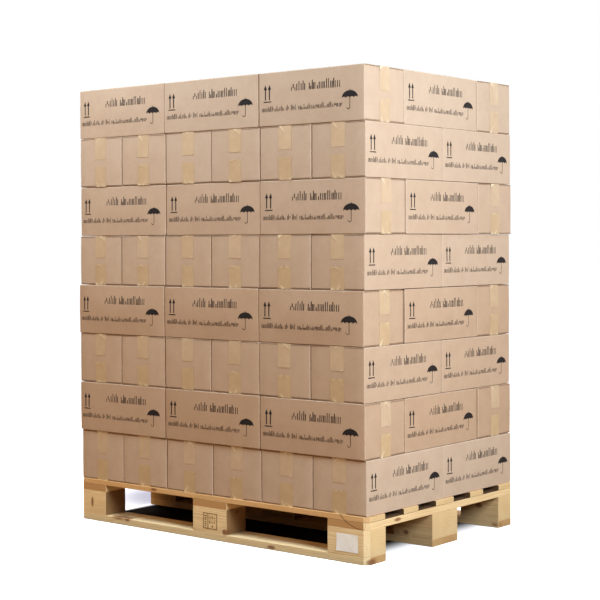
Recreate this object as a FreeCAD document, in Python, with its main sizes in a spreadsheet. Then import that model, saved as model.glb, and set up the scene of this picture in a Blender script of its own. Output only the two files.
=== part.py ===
"""Pallet load of closed cartons: a four-way wooden pallet that carries eight interlocked layers.

Frame: millimetres, +Z up. The origin is on the floor under the middle of the pallet. X runs along
the pallet's long side and Y along its short side, and -Y is the side that carries the paper label.
"""
import FreeCAD, Part
import Sketcher
import math
import os

doc = FreeCAD.newDocument("pallet_load")

# ---------------------------------------------------------------- driving dimensions, in mm
SIZES = [
    ("pallet_length", 1200, "overall, along X"),
    ("pallet_width", 800, "overall, along Y"),
    ("top_board_thickness", 16, "deck boards that run along X"),
    ("outer_top_board_width", 88, "the two deck boards at the edges"),
    ("inner_top_board_width", 76, "the two narrow deck boards"),
    ("centre_top_board_width", 98, "the deck board in the middle"),
    ("cross_board_thickness", 22, "boards under the deck that run along Y"),
    ("left_cross_board_width", 122, "cross board at -X, and the blocks under it"),
    ("middle_cross_board_width", 142, "cross board in the middle, and its blocks"),
    ("right_cross_board_width", 145, "cross board at +X, and its blocks"),
    ("block_height", 78, "spacer blocks, also the height of the fork pockets"),
    ("outer_row_width", 90, "blocks and bottom board of the two outer rows, along Y"),
    ("middle_row_width", 138, "blocks and bottom board of the middle row, along Y"),
    ("bottom_board_thickness", 22, "runners on the floor, along X"),
    ("corner_cut", 14, "chamfer on the pallet's four upright corners"),
    ("nail_head_radius", 4, "flat round nail heads, driven flush"),
    ("nail_head_thickness", 1, ""),
    ("nail_clearance", 0.15, "round and under a nail head, in its seat"),
    ("nail_edge", 22, "from a board's long edge to its nails"),
    ("nail_spread", 34, "from a block's middle to its nails, along X"),
    ("label_length", 78, "paper label, along X"),
    ("label_height", 52, ""),
    ("label_thickness", 0.3, ""),
    ("label_gap", 0.1, "glue line behind the label"),
    ("label_lift", 10, "from the block's foot to the label"),
    ("carton_length", 395, "closed carton"),
    ("carton_width", 196, ""),
    ("carton_height", 161.5, ""),
    ("carton_gap", 2.4, "between the long sides of two neighbours"),
    ("carton_end_gap", 1.8, "between the ends of two neighbours"),
    ("carton_corner_radius", 4, "upright edges of a carton"),
    ("carton_fold_radius", 2, "folded edges round its top and bottom"),
    ("tape_width", 50, "sealing tape, centred on a carton's width"),
    ("tape_thickness", 0.2, ""),
    ("tape_gap", 0.1, "glue line between tape and board"),
    ("top_tape_leg", 72, "how far the top tape comes down an end"),
    ("bottom_tape_leg", 68, "how far the bottom tape comes up an end"),
]

LAYERS = 8
CARTONS_ALONG_X = 6
# Each layer sits a little off the one below. From the lowest layer to the top one:
LAYER_SHIFT_X = [0, -2, -3, -5, -1, 3, 3, -1]
LAYER_SHIFT_Y = [0, 0, -3, 1, -2, -1, -3, -2]
# In a layer with lengthwise rows, the front row stands this far out from the middle one.
FRONT_ROW_OUT = [0, 4, 0, 4, 0, 1, 0, 1]

sheet = doc.addObject("Spreadsheet::Sheet", "sizes")
for row, (alias, value, note) in enumerate(SIZES, start=1):
    sheet.set(f"A{row}", alias)
    sheet.set(f"B{row}", str(value))
    sheet.set(f"C{row}", note)
    sheet.setAlias(f"B{row}", alias)
doc.recompute()

sub_parts = []

# ---------------------------------------------------------------- places worked out from the sizes
COLUMNS = ["left", "middle", "right"]
COLUMN_WIDTH = {
    "left": "sizes.left_cross_board_width",
    "middle": "sizes.middle_cross_board_width",
    "right": "sizes.right_cross_board_width",
}
COLUMN_X = {
    "left": "(sizes.left_cross_board_width - sizes.pallet_length) / 2",
    # midway between the two outer columns
    "middle": "(sizes.left_cross_board_width - sizes.right_cross_board_width) / 2",
    "right": "(sizes.pallet_length - sizes.right_cross_board_width) / 2",
}
ROWS = ["front", "middle", "back"]
ROW_WIDTH = {
    "front": "sizes.outer_row_width",
    "middle": "sizes.middle_row_width",
    "back": "sizes.outer_row_width",
}
ROW_Y = {
    "front": "(sizes.outer_row_width - sizes.pallet_width) / 2",
    "middle": "0",
    "back": "(sizes.pallet_width - sizes.outer_row_width) / 2",
}
BLOCK_FOOT = "sizes.bottom_board_thickness"
BLOCK_TOP = f"({BLOCK_FOOT} + sizes.block_height)"
TOP_BOARD_FOOT = f"({BLOCK_TOP} + sizes.cross_board_thickness)"
DECK = f"({TOP_BOARD_FOOT} + sizes.top_board_thickness)"

# The second and fourth deck boards lie midway between the centre board and the outer ones.
OUTER_TOP_BOARD_Y = "(sizes.pallet_width - sizes.outer_top_board_width) / 2"
INNER_TOP_BOARD_Y = (
    "(sizes.pallet_width / 2 - sizes.outer_top_board_width + sizes.centre_top_board_width / 2) / 2"
)
TOP_BOARDS = [
    (f"-({OUTER_TOP_BOARD_Y})", "sizes.outer_top_board_width"),
    (f"-({INNER_TOP_BOARD_Y})", "sizes.inner_top_board_width"),
    ("0", "sizes.centre_top_board_width"),
    (INNER_TOP_BOARD_Y, "sizes.inner_top_board_width"),
    (OUTER_TOP_BOARD_Y, "sizes.outer_top_board_width"),
]

# Each carton takes its own size and a gap, so a row is as long as its cartons need.
WIDTH_STEP = "(sizes.carton_width + sizes.carton_gap)"
LENGTH_STEP = "(sizes.carton_length + sizes.carton_end_gap)"
TAPE_ROOM = "(sizes.tape_thickness + sizes.tape_gap)"
LAYER_STEP = f"(sizes.carton_height + 2 * {TAPE_ROOM} + sizes.tape_gap)"
FIRST_CARTON_FOOT = f"({DECK} + {TAPE_ROOM} + sizes.tape_gap)"


# ---------------------------------------------------------------- helpers
def place(thing, x, y, z):
    """Bind where a thing stands to three expressions."""
    thing.setExpression("Placement.Base.x", x)
    thing.setExpression("Placement.Base.y", y)
    thing.setExpression("Placement.Base.z", z)


def new_sketch(body, label, plane):
    """A sketch on one of its body's origin planes."""
    sketch = body.newObject("Sketcher::SketchObject", label)
    support = next(f for f in body.Origin.OriginFeatures if f.Role == plane)
    sketch.AttachmentSupport = (support, [""])
    sketch.MapMode = "FlatFace"
    return sketch


def closed_outline(sketch, corners):
    """Join the corners by lines, each laid along X or Y as it already runs."""
    count = len(corners)
    for number in range(count):
        start = FreeCAD.Vector(*corners[number], 0)
        end = FreeCAD.Vector(*corners[(number + 1) % count], 0)
        sketch.addGeometry(Part.LineSegment(start, end))
        way = "Horizontal" if start.y == end.y else "Vertical"
        sketch.addConstraint(Sketcher.Constraint(way, number))
    for number in range(count):
        sketch.addConstraint(Sketcher.Constraint("Coincident", number, 2, (number + 1) % count, 1))


def dimension(sketch, name, way, first, second, value, expression):
    """A named distance between two sketch points, bound to an expression."""
    number = sketch.addConstraint(Sketcher.Constraint(way, *first, *second, value))
    sketch.renameConstraint(number, name)
    sketch.setExpression(f"Constraints.{name}", expression)


def board(name, length, width, thickness, cut_corners=()):
    """A sawn board or block, centred on its own origin and standing on it.

    cut_corners lists the upright corners, as signs of x and y, that get the pallet's chamfer.
    """
    body = doc.addObject("PartDesign::Body", name)
    sketch = new_sketch(body, f"{name}_outline", "XY_Plane")
    closed_outline(sketch, [(-50, -50), (50, -50), (50, 50), (-50, 50)])
    sketch.addConstraint(Sketcher.Constraint("Symmetric", 0, 1, 2, 1, -1, 1))
    dimension(sketch, "length", "DistanceX", (0, 1), (0, 2), 100, length)
    dimension(sketch, "width", "DistanceY", (1, 1), (1, 2), 100, width)
    pad = body.newObject("PartDesign::Pad", f"{name}_pad")
    pad.Profile = sketch
    pad.setExpression("Length", thickness)
    doc.recompute()
    if cut_corners:
        chamfer = body.newObject("PartDesign::Chamfer", f"{name}_corner_cut")
        chamfer.Base = (pad, upright_edges(pad, cut_corners))
        chamfer.setExpression("Size", "sizes.corner_cut")
    return body


def upright_edges(feature, corners):
    """The names of the upright edges that stand in the given corners, as signs of x and y."""
    names = []
    for number, edge in enumerate(feature.Shape.Edges, start=1):
        direction = edge.tangentAt(edge.FirstParameter)
        point = edge.Vertexes[0].Point
        corner = (math.copysign(1, point.x), math.copysign(1, point.y))
        if abs(direction.z) > 0.99 and corner in corners:
            names.append(f"Edge{number}")
    return names


def disc(name, radius, thickness, x, y, z):
    """A flat round thing whose underside is at z."""
    cylinder = doc.addObject("Part::Cylinder", name)
    cylinder.setExpression("Radius", radius)
    cylinder.setExpression("Height", thickness)
    place(cylinder, x, y, z)
    return cylinder


def group(name, pieces):
    """Like pieces that share one node, as separate solids."""
    compound = doc.addObject("Part::Compound", name)
    compound.Links = pieces
    return compound


def keep(name, thing):
    """Hand a finished sub-part in under its own name."""
    thing.Label = name
    sub_parts.append(thing)


# ---------------------------------------------------------------- pallet
nail_heads = []


def nail(board_name, number, x, y, face, inward):
    """One nail head, flush with a board's face, and the seat that it is driven into.

    inward is +1 where the board lies above its face and -1 where it lies below.
    """
    head = f"{board_name}_nail_{number}"
    seat_depth = "(sizes.nail_head_thickness + 2 * sizes.nail_clearance)"
    seat_foot = face if inward > 0 else f"({face} - {seat_depth})"
    seat = disc(f"{head}_seat", "sizes.nail_head_radius + sizes.nail_clearance", seat_depth, x, y, seat_foot)
    nail_heads.append(
        disc(head, "sizes.nail_head_radius", "sizes.nail_head_thickness", x, y,
             f"{seat_foot} + sizes.nail_clearance")
    )
    return seat


def nailed(name, plank, nails):
    """Cut the seats of its nails into a board. nails holds x, y, face and inward for each."""
    seats = [nail(name, number, *where) for number, where in enumerate(nails, start=1)]
    cut = doc.addObject("Part::Cut", f"{name}_nailed")
    cut.Base = plank
    cut.Tool = group(f"{name}_seats", seats)
    keep(name, cut)


def nail_pair(column, y, width):
    """Two places for nails, set diagonally where a board crosses a column of blocks."""
    reach = f"({width} / 2 - sizes.nail_edge)"
    return [
        (f"{COLUMN_X[column]} - sizes.nail_spread", f"{y} - {reach}"),
        (f"{COLUMN_X[column]} + sizes.nail_spread", f"{y} + {reach}"),
    ]


def make_top_boards():
    front_cuts = [(-1, -1), (1, -1)]
    back_cuts = [(-1, 1), (1, 1)]
    for number, (y, width) in enumerate(TOP_BOARDS, start=1):
        name = f"top_board_{number}"
        cuts = {1: front_cuts, len(TOP_BOARDS): back_cuts}.get(number, ())
        plank = board(f"{name}_plank", "sizes.pallet_length", width, "sizes.top_board_thickness", cuts)
        place(plank, "0", y, TOP_BOARD_FOOT)
        nails = []
        for column in COLUMNS:
            nails += [(*where, DECK, -1) for where in nail_pair(column, y, width)]
        nailed(name, plank, nails)


def make_cross_boards():
    for column, cuts in zip(COLUMNS, [[(-1, -1), (-1, 1)], (), [(1, -1), (1, 1)]]):
        name = f"cross_board_{column}"
        plank = board(f"{name}_plank", COLUMN_WIDTH[column], "sizes.pallet_width",
                      "sizes.cross_board_thickness", cuts)
        place(plank, COLUMN_X[column], "0", BLOCK_TOP)
        keep(name, plank)


def make_blocks():
    outward = {"front": -1, "back": 1, "left": -1, "right": 1}
    for row in ROWS:
        for column in COLUMNS:
            is_corner = row in outward and column in outward
            cuts = [(outward[column], outward[row])] if is_corner else ()
            name = f"block_{row}_{column}"
            block = board(f"{name}_body", COLUMN_WIDTH[column], ROW_WIDTH[row], "sizes.block_height", cuts)
            place(block, COLUMN_X[column], ROW_Y[row], BLOCK_FOOT)
            keep(name, block)


def make_bottom_boards():
    for row, cuts in zip(ROWS, [[(-1, -1), (1, -1)], (), [(-1, 1), (1, 1)]]):
        name = f"bottom_board_{row}"
        plank = board(f"{name}_plank", "sizes.pallet_length", ROW_WIDTH[row],
                      "sizes.bottom_board_thickness", cuts)
        place(plank, "0", ROW_Y[row], "0")
        nails = []
        for column in COLUMNS:
            places = nail_pair(column, ROW_Y[row], ROW_WIDTH[row])
            places.append((COLUMN_X[column], ROW_Y[row]))
            nails += [(*where, "0", 1) for where in places]
        nailed(name, plank, nails)


def make_label():
    """A blank paper label on the front of the right-hand corner block."""
    label = doc.addObject("Part::Box", "paper_label_sheet")
    label.setExpression("Length", "sizes.label_length")
    label.setExpression("Width", "sizes.label_thickness")
    label.setExpression("Height", "sizes.label_height")
    place(label, f"{COLUMN_X['right']} - sizes.label_length / 2",
          "-sizes.pallet_width / 2 - sizes.label_gap - sizes.label_thickness",
          f"{BLOCK_FOOT} + sizes.label_lift")
    keep("paper_label", label)


# ---------------------------------------------------------------- cartons and their tape
def make_carton():
    """The one closed carton that all the others copy: a folded box with soft edges."""
    body = doc.addObject("PartDesign::Body", "carton")
    sketch = new_sketch(body, "carton_outline", "XY_Plane")
    closed_outline(sketch, [(-50, -50), (50, -50), (50, 50), (-50, 50)])
    sketch.addConstraint(Sketcher.Constraint("Symmetric", 0, 1, 2, 1, -1, 1))
    dimension(sketch, "length", "DistanceX", (0, 1), (0, 2), 100, "sizes.carton_length")
    dimension(sketch, "width", "DistanceY", (1, 1), (1, 2), 100, "sizes.carton_width")
    pad = body.newObject("PartDesign::Pad", "carton_pad")
    pad.Profile = sketch
    pad.setExpression("Length", "sizes.carton_height")
    doc.recompute()
    corners = body.newObject("PartDesign::Fillet", "carton_corners")
    corners.Base = (pad, upright_edges(pad, [(-1, -1), (1, -1), (1, 1), (-1, 1)]))
    corners.setExpression("Radius", "sizes.carton_corner_radius")
    doc.recompute()
    folds = body.newObject("PartDesign::Fillet", "carton_folds")
    flat_ends = [number for number, face in enumerate(corners.Shape.Faces, start=1)
                 if abs(face.normalAt(0, 0).z) > 0.99]
    folds.Base = (corners, [f"Face{number}" for number in flat_ends])
    folds.setExpression("Radius", "sizes.carton_fold_radius")
    return body


def make_tape(name, leg, upward):
    """A strip over a carton's long seam, with a leg at each end.

    Its sketch is the strip seen from the side. upward is +1 where the legs go up from the strip,
    as under a carton, and -1 where they hang down from it.
    """
    body = doc.addObject("PartDesign::Body", name)
    sketch = new_sketch(body, f"{name}_profile", "XZ_Plane")
    outside, inside = 60, 50
    strip, web, tip = 0, upward * 10, upward * 50
    closed_outline(sketch, [(-outside, strip), (outside, strip), (outside, tip), (inside, tip),
                            (inside, web), (-inside, web), (-inside, tip), (-outside, tip)])
    sketch.addConstraint(Sketcher.Constraint("Symmetric", 0, 1, 0, 2, -1, 1))
    dimension(sketch, "span", "DistanceX", (0, 1), (0, 2), 2 * outside,
              f"sizes.carton_length + 2 * {TAPE_ROOM}")
    tall = f"({leg} + {TAPE_ROOM})"
    rising = [(1, 1), (1, 2)] if upward > 0 else [(1, 2), (1, 1)]
    dimension(sketch, "leg", "DistanceY", *rising, 50, tall)
    dimension(sketch, "right_leg", "DistanceX", (2, 2), (2, 1), 10, "sizes.tape_thickness")
    dimension(sketch, "left_leg", "DistanceX", (6, 2), (6, 1), 10, "sizes.tape_thickness")
    crotch = [(0, 2), (3, 2)] if upward > 0 else [(3, 2), (0, 2)]
    dimension(sketch, "strip", "DistanceY", *crotch, 10, "sizes.tape_thickness")
    sketch.addConstraint(Sketcher.Constraint("Equal", 1, 7))
    pad = body.newObject("PartDesign::Pad", f"{name}_pad")
    pad.Profile = sketch
    pad.setExpression("Length", "sizes.tape_width")
    pad.Midplane = True
    return body


def copy_of(master, name, x, y, z, turn):
    """One more of the same, turned about the upright axis by so many degrees."""
    link = doc.addObject("App::Link", name)
    link.LinkedObject = master
    link.Placement = FreeCAD.Placement(FreeCAD.Vector(), FreeCAD.Rotation(FreeCAD.Vector(0, 0, 1), turn))
    place(link, x, y, z)
    return link


def nudge(number, reach):
    """A small offset that differs from carton to carton and is the same in every build."""
    return reach * math.sin(2.4 * number + 1)


def steps_about_middle(count):
    """How many steps each of a row's cartons stands from the row's middle."""
    return [number - (count - 1) / 2 for number in range(count)]


def layer_places(layer):
    """Where a layer's cartons stand: x and y as expressions, and the turn of each in degrees.

    Odd layers, counted from the lowest, have two rows with the cartons' ends to the front. Even
    ones have a lengthwise row at the front and at the back, and a row of ends between them.
    """
    ends = [f"{step} * {WIDTH_STEP}" for step in steps_about_middle(CARTONS_ALONG_X)]
    sides = [f"{step} * {LENGTH_STEP}" for step in steps_about_middle(CARTONS_ALONG_X // 2)]
    if layer % 2:
        return [(x, f"{step} * {LENGTH_STEP}", 90) for step in steps_about_middle(2) for x in ends]
    row_y = "((sizes.carton_length + sizes.carton_width) / 2 + sizes.carton_gap)"
    front = [(x, f"-{row_y} - {FRONT_ROW_OUT[layer - 1]}", 0) for x in sides]
    inside = [(x, "0", 90) for x in ends]
    back = [(x, row_y, 180) for x in sides]
    return front + inside + back


def make_layer(layer, carton, top_tape, bottom_tape):
    foot = f"({FIRST_CARTON_FOOT} + {layer - 1} * {LAYER_STEP})"
    tape_tops = f"{foot} + sizes.carton_height + {TAPE_ROOM}"
    tape_feet = f"{foot} - {TAPE_ROOM}"
    cartons = []
    tapes = []
    for number, (x, y, turn) in enumerate(layer_places(layer), start=1):
        seed = 12 * layer + number
        x = f"{x} + {LAYER_SHIFT_X[layer - 1] + nudge(seed, 0.4):.2f}"
        y = f"{y} + {LAYER_SHIFT_Y[layer - 1] + nudge(seed + 5, 0.4):.2f}"
        turn += nudge(seed + 9, 0.1)
        cartons.append(copy_of(carton, f"carton_{layer}_{number}", x, y, foot, turn))
        tapes.append(copy_of(top_tape, f"top_tape_{layer}_{number}", x, y, tape_tops, turn))
        tapes.append(copy_of(bottom_tape, f"bottom_tape_{layer}_{number}", x, y, tape_feet, turn))
    keep(f"layer_{layer}_cartons", group(f"carton_layer_{layer}", cartons))
    keep(f"layer_{layer}_tapes", group(f"tape_layer_{layer}", tapes))


# ---------------------------------------------------------------- the load
make_top_boards()
make_cross_boards()
make_blocks()
make_bottom_boards()
keep("nails", group("nail_heads", nail_heads))
make_label()

carton = make_carton()
top_tape = make_tape("top_tape", "sizes.top_tape_leg", -1)
bottom_tape = make_tape("bottom_tape", "sizes.bottom_tape_leg", 1)
for layer in range(1, LAYERS + 1):
    make_layer(layer, carton, top_tape, bottom_tape)

doc.recompute()

# ---------------------------------------------------------------- checks, then the files
for thing in doc.Objects:
    if {"Invalid", "Error"} & set(thing.State):
        raise RuntimeError(f"{thing.Label} failed: {thing.State}")
for thing in sub_parts:
    if thing.Shape.isNull() or not thing.Shape.isValid():
        raise RuntimeError(f"{thing.Label} has no valid shape")

os.makedirs("parts", exist_ok=True)
for thing in sub_parts:
    thing.Shape.exportStep(f"parts/{thing.Label}.step")
print(len(sub_parts), "sub-parts,", sum(len(thing.Shape.Solids) for thing in sub_parts), "solids")
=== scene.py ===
# %% [markdown]
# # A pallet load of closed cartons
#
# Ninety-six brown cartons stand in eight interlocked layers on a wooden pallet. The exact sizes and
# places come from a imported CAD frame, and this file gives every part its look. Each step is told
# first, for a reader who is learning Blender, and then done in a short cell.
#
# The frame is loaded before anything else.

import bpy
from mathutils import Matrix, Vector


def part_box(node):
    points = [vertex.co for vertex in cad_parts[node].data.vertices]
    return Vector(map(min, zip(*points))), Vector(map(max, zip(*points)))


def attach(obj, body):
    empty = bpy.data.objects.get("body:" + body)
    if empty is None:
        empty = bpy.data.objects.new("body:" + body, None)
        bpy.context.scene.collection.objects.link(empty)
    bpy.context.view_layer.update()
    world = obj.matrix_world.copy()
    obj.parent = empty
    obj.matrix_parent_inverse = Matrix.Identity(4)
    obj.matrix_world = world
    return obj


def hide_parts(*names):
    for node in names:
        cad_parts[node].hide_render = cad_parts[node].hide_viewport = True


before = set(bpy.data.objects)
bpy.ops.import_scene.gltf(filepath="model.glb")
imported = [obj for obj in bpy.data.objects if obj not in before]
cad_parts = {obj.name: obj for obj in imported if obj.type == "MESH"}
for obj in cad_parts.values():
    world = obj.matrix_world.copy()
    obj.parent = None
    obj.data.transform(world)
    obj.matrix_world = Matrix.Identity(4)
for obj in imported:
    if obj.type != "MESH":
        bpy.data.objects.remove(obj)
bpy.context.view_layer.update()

# %% [markdown]
# Blender measures in metres and a maker thinks in millimetres, so one value turns the one into the
# other. Everything random below is drawn from seeded generators, so each run gives the same load.

# %% Units and imports
import math
import random

import bmesh
import bpy
from mathutils import Matrix, Vector, noise

MM = 0.001
BODY = "root"

# %% [markdown]
# ## Small helpers
#
# Colours are written as the sRGB hex codes that a paint program shows. Shaders work with linear
# light, so one function converts them, and no colour is written any other way.
#
# A second function adds a shader node with its settings, its values and its links in one line. An
# input that is given a socket gets a link, and any other value is set on the socket itself. Three
# settings come up again and again, so they have names: a mix of two colours, one colour times
# another, and a step with soft ends.

# %% Colour and shader helpers
MIX = {"data_type": "RGBA"}
TIMES = {"data_type": "RGBA", "blend_type": "MULTIPLY"}
SOFT_STEP = {"interpolation_type": "SMOOTHSTEP"}


def colour(hex_code):
    """An sRGB hex code as linear red, green, blue and alpha."""
    parts = [int(hex_code[at:at + 2], 16) / 255 for at in (1, 3, 5)]
    return [p / 12.92 if p <= 0.04045 else ((p + 0.055) / 1.055) ** 2.4 for p in parts] + [1.0]


def add_node(tree, kind, settings=None, inputs=None, stops=None):
    """Add a ShaderNode of that kind. stops are the places and colours of a colour ramp."""
    node = tree.nodes.new("ShaderNode" + kind)
    for name, value in (settings or {}).items():
        setattr(node, name, value)
    for name, value in (inputs or {}).items():
        if isinstance(value, bpy.types.NodeSocket):
            tree.links.new(value, node.inputs[name])
        else:
            node.inputs[name].default_value = value
    for number, (place, shade) in enumerate(stops or []):
        elements = node.color_ramp.elements
        stop = elements[number] if number < 2 else elements.new(place)
        stop.position, stop.color = place, shade
    return node


def new_material(name):
    """A material with one Principled shader, which the caller dresses."""
    material = bpy.data.materials.new(name)
    material.use_nodes = True
    tree = material.node_tree
    tree.nodes.clear()
    shader = add_node(tree, "BsdfPrincipled")
    add_node(tree, "OutputMaterial", inputs={"Surface": shader.outputs["BSDF"]})
    return material, tree, shader


def how_far_out(tree, where, middle, reach):
    """How far out a point is in a stretched ball: 0 in its middle and 1 on its skin."""
    off = add_node(tree, "VectorMath", {"operation": "SUBTRACT"}, {0: where, 1: middle})
    share = add_node(tree, "VectorMath", {"operation": "DIVIDE"}, {0: off.outputs[0], 1: reach})
    return add_node(tree, "VectorMath", {"operation": "LENGTH"}, {0: share.outputs[0]}).outputs["Value"]


print("one grey as linear light:", colour("#808080"))

# %% [markdown]
# Modelling by hand means: select one object, go into edit mode, select what is to change, and run
# a tool on it. These helpers do just that. `choose` selects the vertices, edges or faces that pass
# a test of their place or direction.

# %% Helpers for modelling
def select_only(*pieces):
    if bpy.context.mode != "OBJECT":
        bpy.ops.object.mode_set(mode="OBJECT")
    bpy.ops.object.select_all(action="DESELECT")
    for piece in pieces:
        piece.select_set(True)
    bpy.context.view_layer.objects.active = pieces[0] if pieces else None


def edit(piece, action="DESELECT"):
    """Go into edit mode with nothing selected, or with everything when action is SELECT."""
    select_only(piece)
    bpy.ops.object.mode_set(mode="EDIT")
    bpy.ops.mesh.select_all(action=action)


def done():
    bpy.ops.object.mode_set(mode="OBJECT")


def choose(kind, test):
    """Select the VERT, EDGE or FACE elements that pass the test, and say how many did."""
    bpy.ops.mesh.select_mode(type=kind)
    shape = bmesh.from_edit_mesh(bpy.context.object.data)
    parts = {"VERT": shape.verts, "EDGE": shape.edges, "FACE": shape.faces}[kind]
    shape.normal_update()
    wanted = [part for part in parts if test(part)]
    for part in shape.verts[:] + shape.edges[:] + shape.faces[:]:
        part.select = False
    for part in wanted:
        part.select_set(True)
    bmesh.update_edit_mesh(bpy.context.object.data)
    return len(wanted)


def slice_across(axis, places):
    """Cut the whole piece by planes across an axis, so that it has somewhere to bend."""
    for place in places:
        bpy.ops.mesh.select_all(action="SELECT")
        point, normal = [0, 0, 0], [0, 0, 0]
        point[axis], normal[axis] = place, 1
        bpy.ops.mesh.bisect(plane_co=point, plane_no=normal)
    bpy.ops.mesh.select_all(action="DESELECT")


def start_box(name, low, high):
    """A cube primitive at its size and place, with both applied."""
    select_only()
    low, high = Vector(low), Vector(high)
    bpy.ops.mesh.primitive_cube_add(size=1, location=(low + high) / 2, scale=high - low)
    box = bpy.context.object
    box.name = name
    bpy.ops.object.transform_apply(location=True, rotation=False, scale=True)
    return box


def finish_modifier(piece, kind, **settings):
    """Add a modifier, set it and apply it."""
    select_only(piece)
    modifier = piece.modifiers.new(kind.title(), kind)
    for name, value in settings.items():
        setattr(modifier, name, value)
    bpy.ops.object.modifier_apply(modifier=modifier.name)


def smooth(piece, degrees=35):
    select_only(piece)
    bpy.ops.object.shade_smooth_by_angle(angle=math.radians(degrees))


def copy_of(master, name):
    """A copy with a mesh of its own."""
    twin = master.copy()
    twin.data = master.data.copy()
    twin.name = twin.data.name = name
    bpy.context.scene.collection.objects.link(twin)
    return twin


def join(name, pieces):
    select_only(*pieces)
    bpy.ops.object.join()
    whole = bpy.context.object
    whole.name = whole.data.name = name
    return whole


def throw_away(*pieces):
    for piece in pieces:
        mesh = piece.data
        bpy.data.objects.remove(piece)
        if isinstance(mesh, bpy.types.Mesh) and not mesh.users:
            bpy.data.meshes.remove(mesh)


select_only()
print("nothing is selected:", not bpy.context.selected_objects)

# %% [markdown]
# ## Camera
#
# A long lens, level with the upper half of the load, keeps its upright edges upright. The lens is
# moved down a little in its mount, as on a view camera, instead of tilting the camera more.

# %% Camera
CAMERA_PLACE = (3.102, -3.774, 0.929)
CAMERA_TURN = math.radians(39.14)
CAMERA_TILT = math.radians(-0.74)
CAMERA_ROLL = math.radians(-0.23)

camera_data = bpy.data.cameras.new("camera")
camera_data.sensor_width = 36
camera_data.lens = 88.44
camera_data.shift_y = -0.0663
camera = bpy.data.objects.new("camera", camera_data)
bpy.context.scene.collection.objects.link(camera)
forward = Vector((-math.sin(CAMERA_TURN) * math.cos(CAMERA_TILT),
                  math.cos(CAMERA_TURN) * math.cos(CAMERA_TILT), math.sin(CAMERA_TILT)))
level = Vector((math.cos(CAMERA_TURN), math.sin(CAMERA_TURN), 0))
upright = level.cross(forward)
right = level * math.cos(CAMERA_ROLL) + upright * math.sin(CAMERA_ROLL)
up = upright * math.cos(CAMERA_ROLL) - level * math.sin(CAMERA_ROLL)
camera.matrix_world = (Matrix.Translation(CAMERA_PLACE)
                       @ Matrix((right, up, -forward)).transposed().to_4x4())
bpy.context.scene.camera = camera
print("the camera looks along", [round(part, 3) for part in forward])

# %% [markdown]
# ## Studio
#
# The load stands in a plain white studio. The eye sees a white world, but only a little of its light
# falls on the load, because real walls are far off and dim next to the lamps.
#
# Two sheets make the floor. The eye sees a pale one, which also glows softly, as a floor that is lit
# from all sides does. Its glow is painted greyer near the pallet and ends beneath it, where its colour
# is painted dark as shade, and the load's own soft shade is painted on it at the left end. The light
# that bounces up comes from a browner sheet just under it, also painted dark beneath the pallet as
# shade, so the foot of the load is not lit too brightly from below. Colours are shown by the Standard
# transform, which keeps a white floor white.

# %% World and floor
FLOOR_SIZE = 60
SHEET_GAP = 0.6 * MM
HALF_FOOTPRINT = (0.6, 0.4)
WALL_LIGHT = 0.055

bpy.context.scene.view_settings.view_transform = "Standard"
bpy.context.scene.view_settings.look = "None"

world = bpy.data.worlds.new("studio")
bpy.context.scene.world = world
world.use_nodes = True
world.node_tree.nodes.clear()
path = add_node(world.node_tree, "LightPath")
strength = add_node(world.node_tree, "MapRange",
                    inputs={0: path.outputs["Is Camera Ray"], 1: 0.0, 2: 1.0, 3: WALL_LIGHT, 4: 1.0})
background = add_node(world.node_tree, "Background",
                      inputs={"Color": colour("#FFFFFF"), "Strength": strength.outputs[0]})
add_node(world.node_tree, "OutputWorld", inputs={"Surface": background.outputs[0]})


# how steeply the light comes back past the pallet's right end, left end and long sides
RIGHT_STEEPNESS, LEFT_STEEPNESS, SIDE_STEEPNESS = 1, 6, 2.5
WHITE_FROM = 1.2

END_SHADE_MIDDLE = (-0.62, 0.12, 0)
END_SHADE_REACH = (0.44, 0.4, 1)
END_SHADE_FROM, END_SHADE_FULL = -0.56, -0.63


def floor_sheet(name, z):
    select_only()
    bpy.ops.mesh.primitive_plane_add(size=FLOOR_SIZE, location=(0, 0, z))
    sheet = bpy.context.object
    sheet.name = name
    material, tree, shader = new_material(name)
    shader.inputs["Roughness"].default_value = 0.9
    shader.inputs["Specular IOR Level"].default_value = 0
    sheet.data.materials.append(material)
    return sheet, tree, shader


def shade_beneath(tree, shader, where, lit_colour, dark_until, lit_from):
    """Paint shade on a sheet beneath the pallet, as a dark base colour. The last two say how far past
    the rim its painted shade ends and its light begins. Gives back how far out a point is, its share of
    light and its colour."""
    axes = add_node(tree, "SeparateXYZ", inputs={0: where})
    across = add_node(tree, "Math", {"operation": "ABSOLUTE"}, {0: axes.outputs["Y"]})
    rim = None
    for place, way, half, steepness in ((axes.outputs["X"], 1, HALF_FOOTPRINT[0], RIGHT_STEEPNESS),
                                        (axes.outputs["X"], -1, HALF_FOOTPRINT[0], LEFT_STEEPNESS),
                                        (across.outputs[0], 1, HALF_FOOTPRINT[1], SIDE_STEEPNESS)):
        past = add_node(tree, "Math", {"operation": "MULTIPLY_ADD"},
                        {0: place, 1: way * steepness, 2: -half * steepness}).outputs[0]
        rim = past if rim is None else add_node(tree, "Math", {"operation": "MAXIMUM"},
                                                {0: rim, 1: past}).outputs[0]
    share = add_node(tree, "MapRange", SOFT_STEP, {0: rim, 1: dark_until, 2: lit_from}).outputs[0]
    shaded = add_node(tree, "Mix", MIX, {0: share, 6: colour("#2A2622"), 7: colour(lit_colour)})
    tree.links.new(shaded.outputs[2], shader.inputs["Base Color"])
    return rim, share, shaded.outputs[2]


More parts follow.
